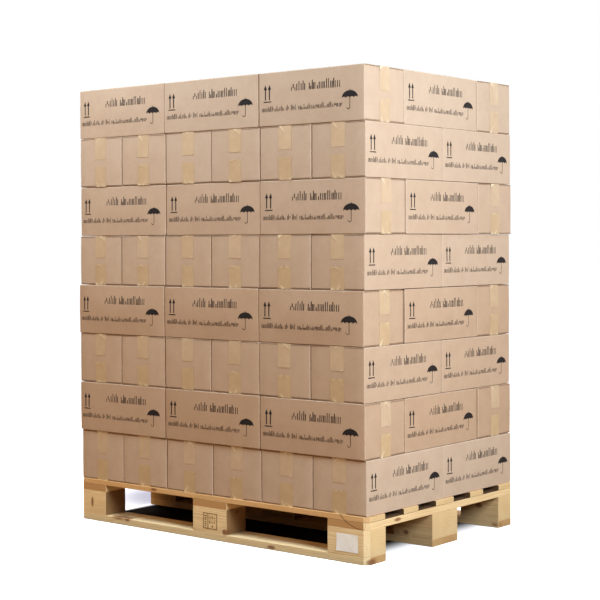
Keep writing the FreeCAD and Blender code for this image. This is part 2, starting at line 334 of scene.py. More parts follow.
seen_floor, tree, shader = floor_sheet("floor", -SHEET_GAP)
where = add_node(tree, "TexCoord").outputs["Object"]
rim, share, lit = shade_beneath(tree, shader, where, "#F8F2EA", -0.16, -0.01)
# painted shade: the glow greys towards the pallet and stops beneath it, where the colour is painted dark
far = add_node(tree, "MapRange", inputs={0: rim, 1: 0.0, 2: WHITE_FROM})
glow_greyed_near_pallet = add_node(tree, "Mix", MIX, {0: far.outputs[0], 6: colour("#ECECF0"), 7: colour("#FFFFFF")})
glow = add_node(tree, "Mix", MIX, {0: share, 6: colour("#000000"), 7: glow_greyed_near_pallet.outputs[2]})

# the load's own soft shade, painted on the floor at its left end
axes = add_node(tree, "SeparateXYZ", inputs={0: where})
past_end = add_node(tree, "MapRange", SOFT_STEP,
                    {0: axes.outputs["X"], 1: END_SHADE_FROM, 2: END_SHADE_FULL})
fading = add_node(tree, "MapRange", SOFT_STEP,
                  {0: how_far_out(tree, where, END_SHADE_MIDDLE, END_SHADE_REACH),
                   1: 0.3, 2: 1.0, 3: 1.0, 4: 0.0})
in_shade = add_node(tree, "Math", {"operation": "MULTIPLY"},
                    {0: past_end.outputs[0], 1: fading.outputs[0]})
for came, shaded, socket in ((lit, "#3A3A40", "Base Color"), (glow.outputs[2], "#C6C3D0", "Emission Color")):
    mix = add_node(tree, "Mix", MIX, {0: in_shade.outputs[0], 6: came, 7: colour(shaded)})
    tree.links.new(mix.outputs[2], shader.inputs[socket])
shader.inputs["Emission Strength"].default_value = 1.0
seen_floor.visible_diffuse = seen_floor.visible_glossy = seen_floor.visible_shadow = False

bounce_floor, tree, shader = floor_sheet("floor_bounce", -2 * SHEET_GAP)
where = add_node(tree, "TexCoord").outputs["Object"]
# painted shade: this sheet's colour is dark beneath the pallet, so less light bounces up there
shade_beneath(tree, shader, where, "#AA8864", -0.05, 0.22)
bounce_floor.visible_camera = False
print("the floor is", FLOOR_SIZE, "m across")

# %% [markdown]
# Soft square lamps stand outside the picture. High ones, a little cool, give the top of the load
# its light, and it fades towards the foot. A wide one on the right lights the short side, a weak
# warm one lifts the foot of the long side, and two behind keep the back from going black.

# %% Lamps
def soft_lamp(name, place, aim, size, power, shade):
    lamp_data = bpy.data.lights.new(name, "AREA")
    lamp_data.size = size
    lamp_data.energy = power
    lamp_data.color = colour(shade)[:3]
    lamp = bpy.data.objects.new(name, lamp_data)
    bpy.context.scene.collection.objects.link(lamp)
    lamp.matrix_world = (Matrix.Translation(place)
                         @ (Vector(place) - Vector(aim)).to_track_quat("Z", "Y").to_matrix().to_4x4())
    lamp.visible_camera = False


soft_lamp("right", (3.2, -1.02, 2.0), (0, -0.4, 0.6), 1.6, 178, "#DEEEFF")
soft_lamp("over_front", (-0.65, -1.1, 2.8), (-0.35, -0.4, 1.3), 1.0, 71, "#D0E9FF")
soft_lamp("front_left", (-1.7, -3.2, 2.0), (0, -0.4, 0.6), 1.6, 33, "#FFD29C")
soft_lamp("high_right", (1.8, 0, 3.8), (0.3, -0.4, 1.2), 1.0, 10, "#D8E8FF")
soft_lamp("behind_left", (-3.6, 1.8, 2.4), (0, 0.2, 0.8), 1.8, 150, "#F2F4FF")
soft_lamp("behind_right", (1.2, 4.2, 2.6), (0, 0.4, 0.8), 1.8, 95, "#F6F2F4")

# %% [markdown]
# ## Where the cartons stand
#
# The frame holds one node of twelve cartons for each layer. A node's mesh is loose triangles, so a
# copy of it is merged and then parted into its islands, one for each carton. The middle of an
# island says where its carton stands, and the direction that it is longest in says how it is turned.

# %% Read the cartons' places
LAYERS = 8


def islands(node):
    """The vertices of each separate solid of a node, read from a merged copy."""
    twin = copy_of(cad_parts[node], "islands")
    twin.parent = None
    edit(twin, "SELECT")
    bpy.ops.mesh.remove_doubles(threshold=0.01 * MM)
    bpy.ops.mesh.separate(type="LOOSE")
    done()
    parts = list(bpy.context.selected_objects)
    found = [[vertex.co.copy() for vertex in part.data.vertices] for part in parts]
    throw_away(*parts)
    return found


def middle_of(points):
    low = Vector([min(point[axis] for point in points) for axis in range(3)])
    high = Vector([max(point[axis] for point in points) for axis in range(3)])
    return (low + high) / 2


def size_along(points, turn):
    """The length, width and height of a solid that is turned by that angle."""
    straight = [Matrix.Rotation(-turn, 3, "Z") @ point for point in points]
    return [max(p[axis] for p in straight) - min(p[axis] for p in straight) for axis in range(3)]


def turn_of(points, middle):
    """The angle from X to the direction that the points are spread most in."""
    xx = sum((point.x - middle.x) ** 2 for point in points)
    yy = sum((point.y - middle.y) ** 2 for point in points)
    xy = sum((point.x - middle.x) * (point.y - middle.y) for point in points)
    return math.atan2(2 * xy, xx - yy) / 2


places = []
for layer in range(1, LAYERS + 1):
    found = []
    for points in islands(f"layer_{layer}_cartons"):
        middle = middle_of(points)
        found.append((middle, turn_of(points, middle), points))
    found.sort(key=lambda one: (round(one[0].y, 1), one[0].x))
    for number, (middle, turn, points) in enumerate(found, start=1):
        places.append({"layer": layer, "number": number, "middle": middle, "turn": turn})
# all cartons are the same size, so the last one gives it
LENGTH, WIDTH, HEIGHT = size_along(points, turn)
print(len(places), "cartons, each", [round(side / MM, 1) for side in (LENGTH, WIDTH, HEIGHT)], "mm")

# %% [markdown]
# ## The carton
#
# A closed carton is one folded sheet of corrugated board. Its side panels run on over soft folds
# into the two long flaps, which meet along the middle of the top and of the bottom. At the ends the
# flaps' cut edges lie on the folded end panel, and a fine dark slit shows between the two.
#
# It could be folded up from flat panels, but only its outside shows, so one box is cut and shaped:
# bevels make the soft corners and folds, and two thin bands are pushed in for the slits and seams.

# %% Model one carton
CORNER_RADIUS = 2.8 * MM
FOLD_RADIUS = 1.9 * MM
BOARD = 3.6 * MM
SLIT = 0.9 * MM
SLIT_DEPTH = 3 * MM

carton = start_box("carton", (-LENGTH / 2, -WIDTH / 2, 0), (LENGTH / 2, WIDTH / 2, HEIGHT))
edit(carton)
choose("EDGE", lambda edge: abs(edge.verts[0].co.z - edge.verts[1].co.z) > HEIGHT / 2)
bpy.ops.mesh.bevel(offset=CORNER_RADIUS, segments=3, affect="EDGES")
choose("EDGE", lambda edge: all(v.co.z < MM or v.co.z > HEIGHT - MM for v in edge.verts)
       and abs(edge.verts[0].co.z - edge.verts[1].co.z) < MM)
bpy.ops.mesh.bevel(offset=FOLD_RADIUS, segments=2, affect="EDGES")

slice_across(0, [LENGTH * step / 10 for step in range(-4, 5)])
slice_across(1, [WIDTH * step / 6 for step in (-2, -1, 1, 2)])
slice_across(2, [HEIGHT * step / 6 for step in range(1, 6)])

for seam in (-SLIT / 2, SLIT / 2):
    slice_across(1, [seam])
choose("FACE", lambda face: abs(face.normal.z) > 0.95 and abs(face.calc_center_median().y) < SLIT / 2)
bpy.ops.mesh.extrude_region_move()
bpy.ops.transform.resize(value=(1, 1, 1 - 2 * SLIT_DEPTH / HEIGHT), center_override=(0, 0, HEIGHT / 2))

for edge_line in (BOARD, HEIGHT - BOARD):
    slice_across(2, [edge_line - SLIT / 2, edge_line + SLIT / 2])


def in_slit(face):
    z = face.calc_center_median().z
    return abs(face.normal.x) > 0.95 and min(abs(z - BOARD), abs(z - HEIGHT + BOARD)) < SLIT / 2


choose("FACE", in_slit)
bpy.ops.mesh.extrude_region_move()
bpy.ops.transform.resize(value=(1 - 2 * SLIT_DEPTH / LENGTH, 1, 1), center_override=(0, 0, 0))
bpy.ops.mesh.select_all(action="SELECT")
bpy.ops.mesh.remove_doubles(threshold=0.02 * MM)
bpy.ops.mesh.normals_make_consistent(inside=False)
done()
print("one carton has", len(carton.data.polygons), "faces")

# %% [markdown]
# The cut edges of the flaps show the fluted middle of the board, so those faces get a material slot
# of their own. The board's pattern has to follow each carton, however it is turned and dented, so
# every vertex keeps its place in the straight carton as an attribute named `board_place`.

# %% Mark the cut edges and keep each vertex's own place
def keep_place(piece):
    """Store every vertex's present place in the attribute board_place."""
    attribute = piece.data.attributes.new("board_place", "FLOAT_VECTOR", "POINT")
    numbers = [part for vertex in piece.data.vertices for part in vertex.co]
    attribute.data.foreach_set("vector", numbers)


KRAFT, CUT_EDGE = 0, 1
for face in carton.data.polygons:
    z = face.center.z
    near_rim = min(z, HEIGHT - z) < BOARD - SLIT / 2
    face.material_index = CUT_EDGE if abs(face.normal.x) > 0.9 and near_rim else KRAFT
keep_place(carton)
smooth(carton, 40)
print(sum(face.material_index for face in carton.data.polygons), "faces are cut edge")

# %% [markdown]
# ## Sealing tape
#
# A strip of tan tape runs over each seam and down both ends. Where it turns over the edge and where
# its end was pressed down it has small folds, and those catch the light.
#
# The strip is laid out flat and sliced, its end parts are turned down like a hand would press them,
# and Solidify gives it its thickness. The folds are low ridges, raised in code along short lines,
# because each leg has its own. Only a leg that shows from outside is sliced finely.

# %% Model the tapes
TAPE_WIDTH = 50 * MM
TAPE_LIFT = 0.15 * MM
TAPE_THICKNESS = 0.2 * MM
TOP_LEG = 72 * MM
BOTTOM_LEG = 68 * MM
# how high the film ripples, how uneven its cut end is, and how far off the board it is painted fully pale,
# partly as a painted glint
TAPE_RIPPLE = 0.12 * MM
UNEVEN_END = 1.2 * MM
PALE_LIFT = 1.2 * MM
HALF_SPAN = LENGTH / 2 + TAPE_LIFT


def fold_height(point, folds):
    """How far the film stands up at a point of the leg. A fold is its two ends, height and width."""
    lift = 0
    for start, end, rise, reach in folds:
        start, end = Vector(start), Vector(end)
        along = end - start
        share = min(1, max(0, (point - start).dot(along) / along.length_squared))
        away = (point - start - along * share).length
        lift = max(lift, rise * max(0, 1 - away / reach) * (1 - 0.5 * share))
    return lift


def make_tape(name, leg, folds):
    """A tape over a carton's top. Its leg at -X shows, so that one is fine and has the folds."""
    select_only()
    bpy.ops.mesh.primitive_plane_add(size=1, location=(0, 0, HEIGHT + TAPE_LIFT))
    tape = bpy.context.object
    tape.name = name
    bpy.ops.transform.resize(value=(2 * (HALF_SPAN + leg), TAPE_WIDTH, 1))
    bpy.ops.object.transform_apply(location=True, rotation=False, scale=True)
    edit(tape)
    fine = folds is not None
    slice_across(0, [HALF_SPAN * step / 5 for step in range(-4, 5)] + [-HALF_SPAN, HALF_SPAN])
    if fine:
        slice_across(0, [-HALF_SPAN - leg * step / 20 for step in range(1, 20)] + [4 * MM - HALF_SPAN])
        slice_across(1, [TAPE_WIDTH * (step / 14 - 0.5) for step in range(1, 14)])
    for side in (-1, 1):
        choose("VERT", lambda vertex: vertex.co.x * side > HALF_SPAN + 0.01 * MM)
        bpy.ops.transform.rotate(value=-side * math.pi / 2, orient_axis="Y",
                                 center_override=(side * HALF_SPAN, 0, HEIGHT + TAPE_LIFT))
    done()
    lifted = [0.0] * len(tape.data.vertices)
    for vertex in tape.data.vertices:
        if fine and vertex.co.x < -HALF_SPAN + 5 * MM:
            from_top = max(0, HEIGHT + TAPE_LIFT - vertex.co.z)
            across = vertex.co.y
            spot = Vector((across, from_top))
            rise = fold_height(spot, folds)
            ripple = TAPE_RIPPLE * noise.noise(Vector((across * 90, from_top * 60, leg * 40)))
            if from_top > leg - 0.5 * MM:
                vertex.co.z += UNEVEN_END * noise.noise(Vector((across * 400, leg * 90, 1)))
            vertex.co.x -= rise + ripple + TAPE_RIPPLE
            lifted[vertex.index] = min(1, rise / PALE_LIFT)
    attribute = tape.data.attributes.new("lifted", "FLOAT", "POINT")
    attribute.data.foreach_set("value", lifted)
    finish_modifier(tape, "SOLIDIFY", thickness=TAPE_THICKNESS, offset=1)
    smooth(tape, 50)
    keep_place(tape)
    return tape


def folds_for(seed, leg):
    """One to three slanting folds under the edge, and up to two at the pressed end."""
    draw = random.Random(seed)
    folds = []
    for numbers, start, way, slants, lengths, rises, widths in (
            ((1, 2, 2, 3), 0, 1, (8, 30), (5, 20), (0.7, 2.0), (3, 5.5)),
            ((0, 1, 1, 2), leg, -1, (5, 18), (4, 12), (0.8, 1.8), (2.5, 4.5))):
        for _ in range(draw.choice(numbers)):
            across = draw.uniform(-0.9, 0.9) * TAPE_WIDTH / 2
            slant = draw.choice((-1, 1)) * draw.uniform(*slants) * MM
            end = start + way * draw.uniform(*lengths) * MM
            folds.append(((across, start), (across + slant, end),
                          draw.uniform(*rises) * MM, draw.uniform(*widths) * MM))
    return folds


FOLD_KINDS = 6
shown_tapes, hidden_tapes = {}, {}
for side, leg, first_seed in (("top", TOP_LEG, 31), ("bottom", BOTTOM_LEG, 57)):
    shown_tapes[side] = [make_tape(f"{side}_tape_{kind}", leg, folds_for(first_seed + kind, leg))
                         for kind in range(FOLD_KINDS)]
    hidden_tapes[side] = make_tape(f"{side}_tape_plain", leg, None)
for tape in shown_tapes["bottom"] + [hidden_tapes["bottom"]]:
    # A bottom tape is a top one turned over along the carton.
    edit(tape, "SELECT")
    bpy.ops.transform.rotate(value=math.pi, orient_axis="X", center_override=(0, 0, HEIGHT / 2))
    done()
print("tapes:", FOLD_KINDS, "kinds for top and bottom; one has",
      len(shown_tapes["top"][0].data.polygons), "faces")

# %% [markdown]
# ## Print
#
# Each long side carries one colour of printing ink: an upright mark, a line of large print, a line
# of small print and an umbrella, the common sign for keeping a pack dry. The words are not written
# out. Rows of plain strokes stand for them, and a pair of arrows stands for the mark.
#
# A picture wrapped on the board would do, but ink with a real edge stays sharp from close by. So the
# print is cut from flat shapes: bars from a box, an umbrella from half a disc, arrows from triangles.

# %% Model the print of one side
INK_FACE = -WIDTH / 2 - 0.3 * MM
INK_BACK = -WIDTH / 2 + 0.2 * MM
print_parts = []


def bar(left, foot, wide, tall):
    """An upright stroke of ink, given by its left foot corner and its size in millimetres."""
    box = start_box("stroke", (left * MM - LENGTH / 2, INK_FACE, foot * MM),
                    ((left + wide) * MM - LENGTH / 2, INK_BACK, (foot + tall) * MM))
    print_parts.append(box)


def flat_disc(across, z, radius, corners, turn=0):
    """A flat disc of ink that faces front, still without thickness."""
    select_only()
    bpy.ops.mesh.primitive_circle_add(
        vertices=corners, radius=radius * MM, fill_type="NGON", rotation=(math.pi / 2, 0, 0),
        location=(across * MM - LENGTH / 2, INK_BACK, z * MM))
    bpy.ops.object.transform_apply(location=True, rotation=True, scale=True)
    print_parts.append(bpy.context.object)
    return bpy.context.object


def thicken(piece):
    finish_modifier(piece, "SOLIDIFY", thickness=INK_BACK - INK_FACE, offset=1)


def strokes(left, right, foot, small, large, wide, pitch, seed, word_ends):
    """A row of strokes in place of a line of words: some tall, some short and some half high."""
    draw = random.Random(seed)
    at = left
    while at < right:
        if any(abs(at - end) < pitch for end in word_ends):
            at += pitch * 1.5
            word_ends = [end for end in word_ends if abs(at - end) > pitch * 2.5]
            continue
        rise, tall = draw.choice(((0, large), (0, small), (0, small), (0, small),
                                  (0, small * 0.55), (small * 0.4, small * 0.6)))
        bar(at, foot + rise, wide * draw.uniform(0.75, 1.2), tall)
        at += pitch * draw.uniform(0.75, 1.3)


# the large line and the small line
strokes(left=127, right=312, foot=100, small=20, large=27.5, wide=2.6, pitch=6.6, seed=5,
        word_ends=[186])
strokes(left=12, right=316, foot=43, small=11, large=16, wide=1.6, pitch=4.2, seed=8,
        word_ends=[103, 122, 150])

# two arrows on a foot line
ARROW_TIP = 114
bar(19, 71, 30, 3)
for across in (26, 42):
    bar(across - 2, 78, 4, 34)
    head = flat_disc(across, ARROW_TIP, 9, 3)
    edit(head, "SELECT")
    bpy.ops.transform.resize(value=(0.8, 1, 1.1), center_override=(across * MM - LENGTH / 2, INK_BACK,
                                                                   ARROW_TIP * MM))
    done()
    thicken(head)

# the umbrella: half a disc with a scalloped hem, a shaft and a hook
SHADE_AT, HEM, SHADE_RADIUS, SCALLOPS = 344, 67, 28.5, 4
SHADE_FLATNESS, SCALLOP_RISE = 0.74, 3.4
shade = flat_disc(SHADE_AT, HEM, SHADE_RADIUS, 48)
edit(shade, "SELECT")
bpy.ops.mesh.bisect(plane_co=(0, 0, HEM * MM), plane_no=(0, 0, 1), clear_inner=True, use_fill=False)
bpy.ops.mesh.select_all(action="SELECT")
bpy.ops.transform.resize(value=(1, 1, SHADE_FLATNESS), center_override=(0, 0, HEM * MM))
choose("EDGE", lambda edge: all(abs(v.co.z - HEM * MM) < 0.01 * MM for v in edge.verts))
bpy.ops.mesh.subdivide(number_cuts=31)
done()
for vertex in shade.data.vertices:
    if abs(vertex.co.z - HEM * MM) < 0.01 * MM:
        share = (vertex.co.x + LENGTH / 2) / MM - SHADE_AT + SHADE_RADIUS
        vertex.co.z += SCALLOP_RISE * MM * abs(math.sin(math.pi * SCALLOPS * share / (2 * SHADE_RADIUS)))
thicken(shade)
bar(SHADE_AT - 0.9, HEM + 20, 1.8, 4)
SHAFT_WIDE, SHAFT_FOOT, HOOK_RADIUS = 1.6, 40, 5.5
bar(SHADE_AT - SHAFT_WIDE / 2, SHAFT_FOOT, SHAFT_WIDE, 28)
hook = flat_disc(SHADE_AT - HOOK_RADIUS, SHAFT_FOOT, HOOK_RADIUS + SHAFT_WIDE / 2, 24)
edit(hook, "SELECT")
bpy.ops.mesh.inset(thickness=SHAFT_WIDE * MM)
bpy.ops.mesh.delete(type="FACE")
bpy.ops.mesh.select_all(action="SELECT")
bpy.ops.mesh.bisect(plane_co=(0, 0, SHAFT_FOOT * MM), plane_no=(0, 0, 1), clear_outer=True)
done()
thicken(hook)
side_print = join("side_print", print_parts)
print("the print has", len(side_print.data.polygons), "faces")

# %% [markdown]
# ## Dents and bulges
#
# No packed carton stays a perfect box. Its walls bulge, its top sags, and its corners get crushed.
# Moving vertices of every carton, its tape and its print by hand would never keep the three
# together. A lattice does: it is a coarse cage, and whatever lies in it follows the cage's points.
# One cage is bent anew for each carton. Walls that face a neighbour stay nearly flat, because there
# is little room between the cartons.

# %% Bend a cage for each carton
CAGE = (5, 4, 4)
AT_WALL = 0.99
# millimetres from and to which a shown end, a shown side and a pressed wall bulge, and the top sags
END_BULGE, SIDE_BULGE, PRESSED_BULGE, TOP_SAG = (1.2, 3.2), (1.6, 4.2), (0, 0.4), (0.8, 3)
# cartons bulge more in layers that were filled fuller than the others
LAYER_SLACK = {4: 2.3, 2: 1.5, 6: 1.25, 1: 0.7}

select_only()
bpy.ops.object.add(type="LATTICE", location=(0, 0, HEIGHT / 2))
cage = bpy.context.object
cage.data.points_u, cage.data.points_v, cage.data.points_w = CAGE
cage.scale = (LENGTH, WIDTH, HEIGHT)
cage_rest = [point.co.copy() for point in cage.data.points]


def bend_cage(draw, slack, outside):
    """Move the cage's points. outside says which of the walls -X, +X, -Y and +Y show."""
    end_bulge = [draw.uniform(*END_BULGE) * slack if shows else draw.uniform(*PRESSED_BULGE)
                 for shows in outside[:2]]
    side_bulge = [draw.uniform(*SIDE_BULGE) * slack if shows else draw.uniform(*PRESSED_BULGE)
                  for shows in outside[2:]]
    sag = draw.uniform(*TOP_SAG)
    for point, rest in zip(cage.data.points, cage_rest):
        u, v, w = (2 * part for part in rest)
        middle_u, middle_v, middle_w = 1 - abs(u) ** 1.5, 1 - abs(v) ** 2, 1 - abs(w) ** 2
        move = Vector()
        if abs(u) > AT_WALL:
            move.x += u * end_bulge[u > 0] * min(1, middle_v * 1.6) * min(1, middle_w * 1.6)
        if abs(v) > AT_WALL:
            move.y += v * side_bulge[v > 0] * min(1, middle_u * 1.3) * min(1, middle_w * 1.6)
        if w > AT_WALL:
            move.z -= sag * min(1, middle_u * 1.4) * min(1, middle_v * 1.6)
        rim = (abs(u) > AT_WALL) + (abs(v) > AT_WALL)
        if abs(w) > AT_WALL and rim:
            crush = draw.uniform(0, 0.9 if rim == 1 else 2.2) * slack ** 0.5
            move.z -= w * crush * (0.8 if w > 0 else 0.15)
            move.x -= u * draw.uniform(0, 0.4) * crush * (rim == 2)
            move.y -= v * draw.uniform(0, 0.4) * crush * (rim == 2)
        elif rim == 2:
            move.x += u * draw.uniform(-0.7, 0.2) * slack
            move.y += v * draw.uniform(-0.7, 0.2) * slack
        point.co_deform = rest + Vector((move.x / LENGTH, move.y / WIDTH, move.z / HEIGHT)) * MM


print("the cage has", len(cage_rest), "points")

# %% [markdown]
# ## Stack the cartons
#
# Now every carton is copied, bent and set in its place. It gets a tape over its top and one under
# its foot, with a fine leg at the end that shows, and print on each long side that shows. The tape
# and the print of a layer are joined into one piece each, as in the frame.

# %% Build the stack
LOAD_RIM_X, LOAD_RIM_Y = 0.57, 0.37
STACKED_BY_HAND = 0.75 * MM
# each layer came from a bundle of board with its own shade, from 0, dark and warm, to 1, pale
LAYER_BATCH = (0.85, 0.15, 0.5, 0.25, 0.75, 0.75, 0.88, 0.88)


def shows_outside(place, local):
    """Whether a wall's middle lies at the rim of the load."""
    spot = Matrix.Rotation(place["turn"], 3, "Z") @ Vector(local) + place["middle"]
    return abs(spot.x) > LOAD_RIM_X or abs(spot.y) > LOAD_RIM_Y


def bent(piece):
    finish_modifier(piece, "LATTICE", object=cage)
    return piece


def fill_attribute(piece, name, value):
    attribute = piece.data.attributes.new(name, "FLOAT", "POINT")
    attribute.data.foreach_set("value", [value] * len(piece.data.vertices))


half_turn = Matrix.Rotation(math.pi, 4, "Z")
cartons, tapes, prints = [], {}, {}
for place in places:
    layer, number = place["layer"], place["number"]
    draw = random.Random(100 * layer + number)
    walls = [(-LENGTH / 2, 0, 0), (LENGTH / 2, 0, 0), (0, -WIDTH / 2, 0), (0, WIDTH / 2, 0)]
    outside = [shows_outside(place, wall) for wall in walls]
    bend_cage(draw, LAYER_SLACK.get(layer, 1), outside)

    body = bent(copy_of(carton, f"carton_{layer}_{number:02d}"))
    fill_attribute(body, "batch", LAYER_BATCH[layer - 1] + draw.uniform(-0.12, 0.12))
    cartons.append(body)
    own = [body]
    for kind in ("top", "bottom"):
        master = draw.choice(shown_tapes[kind]) if outside[0] or outside[1] else hidden_tapes[kind]
        tape = copy_of(master, f"tape_{layer}_{number}_{kind}")
        if outside[1]:
            tape.data.transform(half_turn)
        own.append(bent(tape))
        # the strips under the cartons are painted darker as shade, most of all in the lowest layers
        film_batch_and_shade = draw.uniform(0.5, 0.9) if kind == "top" else 0.06 * layer + draw.uniform(0, 0.15)
        fill_attribute(tape, "batch", film_batch_and_shade)
        tapes.setdefault(layer, []).append(tape)
    for side, shows in enumerate(outside[2:]):
        if shows:
            ink = copy_of(side_print, f"print_{layer}_{number}_{side}")
            if side == 1:
                ink.data.transform(half_turn)
            own.append(bent(ink))
            prints.setdefault(layer, []).append(ink)
    foot = place["middle"] - Vector((0, 0, HEIGHT / 2))
    foot += Vector((draw.uniform(-1, 1), draw.uniform(-1, 1), 0)) * STACKED_BY_HAND
    for piece in own:
        piece.matrix_world = Matrix.Translation(foot) @ Matrix.Rotation(place["turn"], 4, "Z")

select_only(*cartons, *sum(tapes.values(), []), *sum(prints.values(), []))
bpy.ops.object.transform_apply(location=True, rotation=True, scale=True)
tape_layers = {layer: join(f"tapes_{layer}", parts) for layer, parts in tapes.items()}
print_layers = {layer: join(f"print_{layer}", parts) for layer, parts in prints.items()}
throw_away(cage, carton, side_print, *sum(shown_tapes.values(), []), *hidden_tapes.values())
print(len(cartons), "cartons;", sum(len(o.data.polygons) for o in cartons), "faces on them,",
      sum(len(o.data.polygons) for o in tape_layers.values()), "on the tape,",
      sum(len(o.data.polygons) for o in print_layers.values()), "on the print")

# %% [markdown]
# ## Kraft board
#
# Brown kraft board is pressed from unbleached wood fibre: matt, a little cloudy, with fine flecks,
# and paler where an edge has been rubbed. Its fluted middle can just be felt through the face, as
# ridges about eight millimetres apart.
#
# The clouds and flecks read Object coordinates, so no two cartons match. The ridges and the rubbed
# edges read `board_place`, so they stay with their carton. Ridges on the real board are under a
# tenth of a millimetre high, and so are these. The attribute `batch` gives each carton its shade.

# %% Kraft board material
FLUTE_PITCH = 7.9 * MM
RUB_REACH = 9 * MM

kraft, tree, shader = new_material("kraft_board_pressed")
where = add_node(tree, "TexCoord").outputs["Object"]
own_place = add_node(tree, "Attribute", {"attribute_name": "board_place"}).outputs["Vector"]
batch = add_node(tree, "Attribute", {"attribute_name": "batch"}).outputs["Fac"]
clouds = add_node(tree, "TexNoise", inputs={"Vector": where, "Scale": 1 / (45 * MM),
                                            "Detail": 4, "Roughness": 0.6})
flecks = add_node(tree, "TexNoise", inputs={"Vector": where, "Scale": 1 / (1.6 * MM),
                                            "Detail": 2, "Roughness": 0.7})
base = add_node(tree, "ValToRGB", inputs={"Fac": clouds.outputs["Fac"]},
                stops=[(0.3, colour("#C0A286")), (0.7, colour("#C6A98D"))])
fleck = add_node(tree, "ValToRGB", inputs={"Fac": flecks.outputs["Fac"]},
                 stops=[(0.32, colour("#D8D2CC")), (0.5, colour("#FFFFFF"))])
flecked = add_node(tree, "Mix", TIMES,
                   {0: 0.5, 6: base.outputs["Color"], 7: fleck.outputs["Color"]})
tone = add_node(tree, "ValToRGB", inputs={"Fac": batch},
                stops=[(0.0, colour("#F0E3D5")), (1.0, colour("#FFFFFF"))])
toned = add_node(tree, "Mix", TIMES,
                 {0: 1.0, 6: flecked.outputs[2], 7: tone.outputs["Color"]})

# how near a point is to the carton's rim on each axis, from 0 to 1
centred = add_node(tree, "VectorMath", {"operation": "SUBTRACT"},
                   {0: own_place, 1: (0, 0, HEIGHT / 2)})
folded = add_node(tree, "VectorMath", {"operation": "ABSOLUTE"}, {0: centred.outputs[0]})
inner = [side / 2 - RUB_REACH for side in (LENGTH, WIDTH, HEIGHT)]
past = add_node(tree, "VectorMath", {"operation": "SUBTRACT"}, {0: folded.outputs[0], 1: inner})
scaled = add_node(tree, "VectorMath", {"operation": "SCALE"},
                  {0: past.outputs[0], "Scale": 1 / RUB_REACH})
near = add_node(tree, "SeparateXYZ", inputs={0: scaled.outputs[0]})
pairs = []
for first, second in (("X", "Y"), ("Y", "Z"), ("Z", "X")):
    pairs.append(add_node(tree, "Math", {"operation": "MINIMUM"},
                          {0: near.outputs[first], 1: near.outputs[second]}).outputs[0])
edge_two = add_node(tree, "Math", {"operation": "MAXIMUM"}, {0: pairs[0], 1: pairs[1]})
edge = add_node(tree, "Math", {"operation": "MAXIMUM", "use_clamp": True},
                {0: edge_two.outputs[0], 1: pairs[2]})
rub_noise = add_node(tree, "TexNoise", inputs={"Vector": where, "Scale": 1 / (7 * MM),
                                               "Detail": 3, "Roughness": 0.7})
rub_sum = add_node(tree, "Math", {"operation": "ADD"},
                   {0: edge.outputs[0], 1: rub_noise.outputs["Fac"]})
rub = add_node(tree, "MapRange", inputs={0: rub_sum.outputs[0], 1: 1.15, 2: 1.6, 3: 0.0, 4: 0.55})
rubbed = add_node(tree, "Mix", MIX,
                  {0: rub.outputs[0], 6: toned.outputs[2], 7: colour("#D8BFA3")})
tree.links.new(rubbed.outputs[2], shader.inputs["Base Color"])

flutes = []
axes = add_node(tree, "SeparateXYZ", inputs={0: own_place})
for axis in ("X", "Y"):
    turns = add_node(tree, "Math", {"operation": "MULTIPLY"},
                     {0: axes.outputs[axis], 1: 2 * math.pi / FLUTE_PITCH})
    flutes.append(add_node(tree, "Math", {"operation": "SINE"}, {0: turns.outputs[0]}).outputs[0])
ridges = add_node(tree, "Math", {"operation": "ADD"}, {0: flutes[0], 1: flutes[1]})
ridge_bump = add_node(tree, "Bump", inputs={"Strength": 0.5, "Distance": 0.05 * MM,
                                            "Height": ridges.outputs[0]})
fibre_bump = add_node(tree, "Bump", inputs={"Strength": 0.35, "Distance": 0.12 * MM,
                                            "Height": flecks.outputs["Fac"],
                                            "Normal": ridge_bump.outputs[0]})
tree.links.new(fibre_bump.outputs[0], shader.inputs["Normal"])
gloss = add_node(tree, "MapRange",
                 inputs={0: clouds.outputs["Fac"], 1: 0.3, 2: 0.7, 3: 0.72, 4: 0.84})
tree.links.new(gloss.outputs[0], shader.inputs["Roughness"])
shader.inputs["IOR"].default_value = 1.47
print("ridges every", FLUTE_PITCH / MM, "mm")

# %% [markdown]
# Where the board was cut, its fluted middle shows between two liners: a wave, with shade painted dark in
# each hollow.

# %% Cut edge of the board
cut_edge, tree, shader = new_material("kraft_board_cut_edge")
own_place = add_node(tree, "Attribute", {"attribute_name": "board_place"}).outputs["Vector"]
axes = add_node(tree, "SeparateXYZ", inputs={0: own_place})
turns = add_node(tree, "Math", {"operation": "MULTIPLY"},
                 {0: axes.outputs["Y"], 1: 2 * math.pi / FLUTE_PITCH})
wave = add_node(tree, "Math", {"operation": "SINE"}, {0: turns.outputs[0]})
# painted shade: darker where each flute's hollow lies
hollow_shade = add_node(tree, "ValToRGB", inputs={"Fac": wave.outputs[0]},
                   stops=[(0.0, colour("#8C6C50")), (0.8, colour("#B59273"))])
tree.links.new(hollow_shade.outputs["Color"], shader.inputs["Base Color"])
shader.inputs["Roughness"].default_value = 0.9
shader.inputs["IOR"].default_value = 1.47
for body in cartons:
    body.data.materials.append(kraft)
    body.data.materials.append(cut_edge)
print("board on", len(cartons), "cartons")
